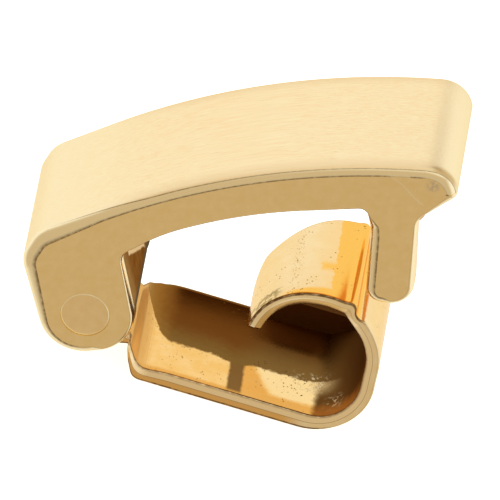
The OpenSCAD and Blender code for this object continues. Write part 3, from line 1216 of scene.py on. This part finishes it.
def inside_gilt(tree, sheet, at):
    """Inside: warm gilt with painted reflections, brown painted reflection beyond the ragged border, painted
    shade nearly black in the hollow.
    """
    x = at.x
    y = at.y
    ragged = at.ragged
    # Painted reflections: a dark band across the plate, the light patch past it and the orange round that
    band = (x - 7.46 + 0.15 * ragged).abs().below(0.26, 0.42) * y.above(-3.75, -3.3)
    slant = x + 0.4 * y + 0.3 * ragged
    patch = slant.above(7.85, 8.3) * (y + 0.4 * ragged).above(-3.0, -2.6)
    by_band = x.above(7.7, 7.8) * slant.below(7.75, 8.1)
    by_rim = (y + 0.4 * ragged).below(-3.1, -2.6) * x.above(8.0, 8.6)
    by_rim = by_rim.maximum((y + 0.25 * ragged).below(-3.5, -3.2))
    # Painted orange reflections streak the hollow
    streaks = at.hollow * (y + 0.9 * ragged).below(-3.4, -2.4)
    streaks = streaks * at.s.below(sheet.plate_end + 2, sheet.plate_end + 4)
    return tree.coats(
        tree.mix(at.mottle.above(0.3, 0.75), *INSIDE_WARM),
        (patch * 0.8, INSIDE_CREAM_REFLECTION),
        (by_band.maximum(by_rim) * 0.85, INSIDE_ORANGE_REFLECTION),
        (band * 0.95, BAND_DARK_REFLECTION),
        (at.beyond, far_painted_reflection(tree, at)),
        (at.hollow, tree.mix(x.above(11.5, 14.5), *HOLLOW_SHADE)),
        (streaks * 0.8, HOLLOW_STREAK_REFLECTION),
        (at.painted_glints * 0.9, GLINT_HIGHLIGHT),
        (at.deep, HOLLOW_DEEP_REFLECTION),
        (at.lip, tree.mix(y.above(4.3, 5.3), *HOLLOW_LIP_SHADE)),
        # Painted shade on the web
        (x.below(1.3, 1.6), WEB_SHADE),
        (at.riser_highlight * 0.8, RISER_HIGHLIGHT),
        (at.far_rim_highlight * 0.9, FAR_RIM_HIGHLIGHT),
    )


def edge_gilt(tree, sheet, at):
    """Edge: tan in two halves, with a painted highlight on the inner half, and painted shade, browner, on
    the lower half along the plate and on the inner half along the tongue.
    """
    inner_half = at.place.above(2.05, 2.15)
    on_tongue = at.s.above(sheet.groove, sheet.groove + 1.0)
    on_plate = at.x.below(9.8, 11.0)
    return tree.coats(
        tree.mix(at.mottle.above(0.3, 0.75), *EDGE_TAN),
        (inner_half, EDGE_INNER_HIGHLIGHT),
        (on_plate * (1 - inner_half), EDGE_PLATE_SHADE),
        (inner_half * on_tongue, EDGE_TONGUE_SHADE),
    )


def strip_pits(tree, sheet, at):
    """Pits in clusters, along the border of the far half's painted brown and in a band across the tongue."""
    clusters = tree.noise(at.blank, 0.9, 3.0, 0.6).above(0.50, 0.64)
    along_border = at.border.near(0.0, 0.6) * at.inside
    across = (at.s - sheet.rib - 2.55 + 0.4 * at.ragged).near(0.0, 0.4) * (1 - at.inside)
    smoother = (at.beyond * at.border.above(0.4, 0.9)).maximum(at.hollow).maximum(at.lip) * at.inside
    pits = 1 - tree.cells(at.blank, 5.0).above(0.10, 0.24)
    pits = pits * clusters.maximum(along_border).maximum(across) * (1 - 0.7 * smoother)
    fine_pits = (1 - tree.cells(at.blank, 9.0).above(0.12, 0.28)) * across
    return pits.maximum(fine_pits) * (1 - at.edge)


def strip_lines(tree, sheet, at):
    """Grime along the edge: in the line at its middle, and in those above and below."""
    uneven = tree.noise(at.blank, 4.0, 3.0).above(0.25, 0.6)
    round_bend = at.s.within(sheet.plate_end, sheet.plate_end + 1.0, sheet.groove - 0.6, sheet.groove)
    upper = at.place.near(3.0, 0.4) * (0.3 + 0.5 * uneven) * (1 - at.far_rim_highlight)
    lower = at.place.above(-0.4, 0.2) * (at.place + 0.2 * at.ragged).below(1.04, 1.22)
    lower = lower * (0.5 + 0.45 * uneven) * (1 - 0.85 * round_bend)
    return at.place.near(2.08, 0.12), upper.maximum(lower)


def strip_material(sheet):
    """Polished gilt, pitted: cream outside, warmer inside, with painted highlights and reflections, and dark
    brown painted reflection and shade in the far half and the hollow.
    """
    material, tree = new_material("strip_gilding")
    at = StripPlaces(tree, sheet)
    pits = strip_pits(tree, sheet, at)
    middle_line, outer_lines = strip_lines(tree, sheet, at)
    colour = tree.coats(
        outside_gilt(tree, sheet, at),
        (at.inside, inside_gilt(tree, sheet, at)),
        (at.edge, edge_gilt(tree, sheet, at)),
        (pits * 0.7, PIT_BROWN),
        (middle_line * 0.6, EDGE_MIDDLE),
        (outer_lines, EDGE_GRIME),
    )
    dull = at.hollow.maximum(at.lip).maximum(at.deep) * at.inside * (1 - at.edge)
    matt = at.riser_highlight.maximum(at.far_rim_highlight).maximum(dull)
    height = 0.25 * at.mottle - pits + 0.6 * at.painted_glints
    tree.output(
        Base_Color=colour,
        Roughness=0.12 + at.mottle * 0.08 + pits * 0.3 + at.edge * 0.06 + 0.25 * dull,
        Metallic=1 - 0.6 * matt,
        Specular_IOR_Level=0.0,
        Specular_Tint=(1.0, 0.86, 0.62, 1),
        Normal=tree.bump(height, 0.3, 0.00004),
    )
    return material


# Stage


def make_floor():
    """Round white photo table with a rolled rim, which glows a little."""
    profile = [(0.1, 0), (0.3, 0), (TABLE_R, 0)]
    for a in np.linspace(0.3, math.pi / 2, 5):
        profile.append((TABLE_R + TABLE_RIM_R * math.sin(a), -TABLE_RIM_R * (1 - math.cos(a))))
    profile.append((TABLE_R + TABLE_RIM_R, -TABLE_DEPTH))
    points = [(px, py, z) for r, z in profile for px, py in circle(r, TABLE_CORNERS)]
    rings = [[k * TABLE_CORNERS + i for i in range(TABLE_CORNERS)] for k in range(len(profile))]
    faces = loft(rings[::-1]) + [tuple(rings[0]), tuple(reversed(rings[-1]))]
    floor = new_object("photo_table", points, faces, 180)
    floor.location.z = -TABLE_GAP
    material, tree = new_material("white_table")
    tree.output(
        Base_Color=(0.9, 0.9, 0.9, 1),
        Roughness=0.7,
        Emission_Color=(1.0, 0.985, 0.96, 1),
        Emission_Strength=0.8,
    )
    floor.data.materials.append(material)
    floor.visible_glossy = False


def light_stage():
    """Even surroundings: white behind and to the right, duller in front, a dark flag over the back."""
    world = bpy.data.worlds.new("studio")
    bpy.context.scene.world = world
    world.use_nodes = True
    tree = Tree(world.node_tree)
    direction = tree.add("ShaderNodeTexCoord")["Generated"]
    x, y, z = tree.split(direction)
    behind = y.above(-0.3, 0.25).maximum(x.above(0.6, 0.9))
    above = z.above(0.5, 0.7) * y.below(-0.1, 0.3)
    below = (0 - z).above(0.75, 0.95)
    flag = tree.add("ShaderNodeVectorMath", {"operation": "DOT_PRODUCT"}, {0: direction, 1: FLAG_AT})
    outer, inner = (math.cos(math.radians(degrees)) for degrees in FLAG_ANGLES)
    seen = tree.add("ShaderNodeLightPath")["Is Camera Ray"]
    colour = tree.coats(
        tree.mix(behind, ROOM_FRONT, ROOM_WHITE),
        (above, ROOM_ABOVE),
        (below, ROOM_BELOW),
        (flag["Value"].above(outer, inner), FLAG_BROWN),
        (seen, BACKDROP),
    )
    tree.output("ShaderNodeBackground", Color=colour, Strength=1.0)


def make_camera():
    """Long lens a little above, from the front: the photograph's own view."""
    right = Vector(CAMERA_RIGHT)
    up = Vector(CAMERA_UP)
    back = right.cross(up).normalized()
    up = back.cross(right).normalized()
    right = up.cross(back).normalized()
    data = bpy.data.cameras.new("camera")
    data.lens = LENS
    data.sensor_width = SENSOR
    data.clip_start = 0.01
    data.clip_end = 5.0
    camera = bpy.data.objects.new("camera", data)
    bpy.context.scene.collection.objects.link(camera)
    rotation = Matrix((right, up, back)).transposed().to_4x4()
    camera.matrix_world = Matrix.Translation(Vector(CAMERA_AT) * MM) @ rotation
    bpy.context.scene.camera = camera
    bpy.context.scene.view_settings.view_transform = "Standard"


def dress(piece, material, body, node):
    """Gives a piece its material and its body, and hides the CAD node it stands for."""
    piece.data.materials.clear()
    piece.data.materials.append(material)
    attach(piece, body)
    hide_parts(node)


def main():
    dress(make_cover(), cover_material(), "cover", "cover")
    dress(make_rivet(), rivet_material(), "cover", "hinge_pin")
    sheet = Sheet()
    dress(make_strip(sheet), strip_material(sheet), "strip", "catch_strip")
    make_floor()
    light_stage()
    make_camera()


main()
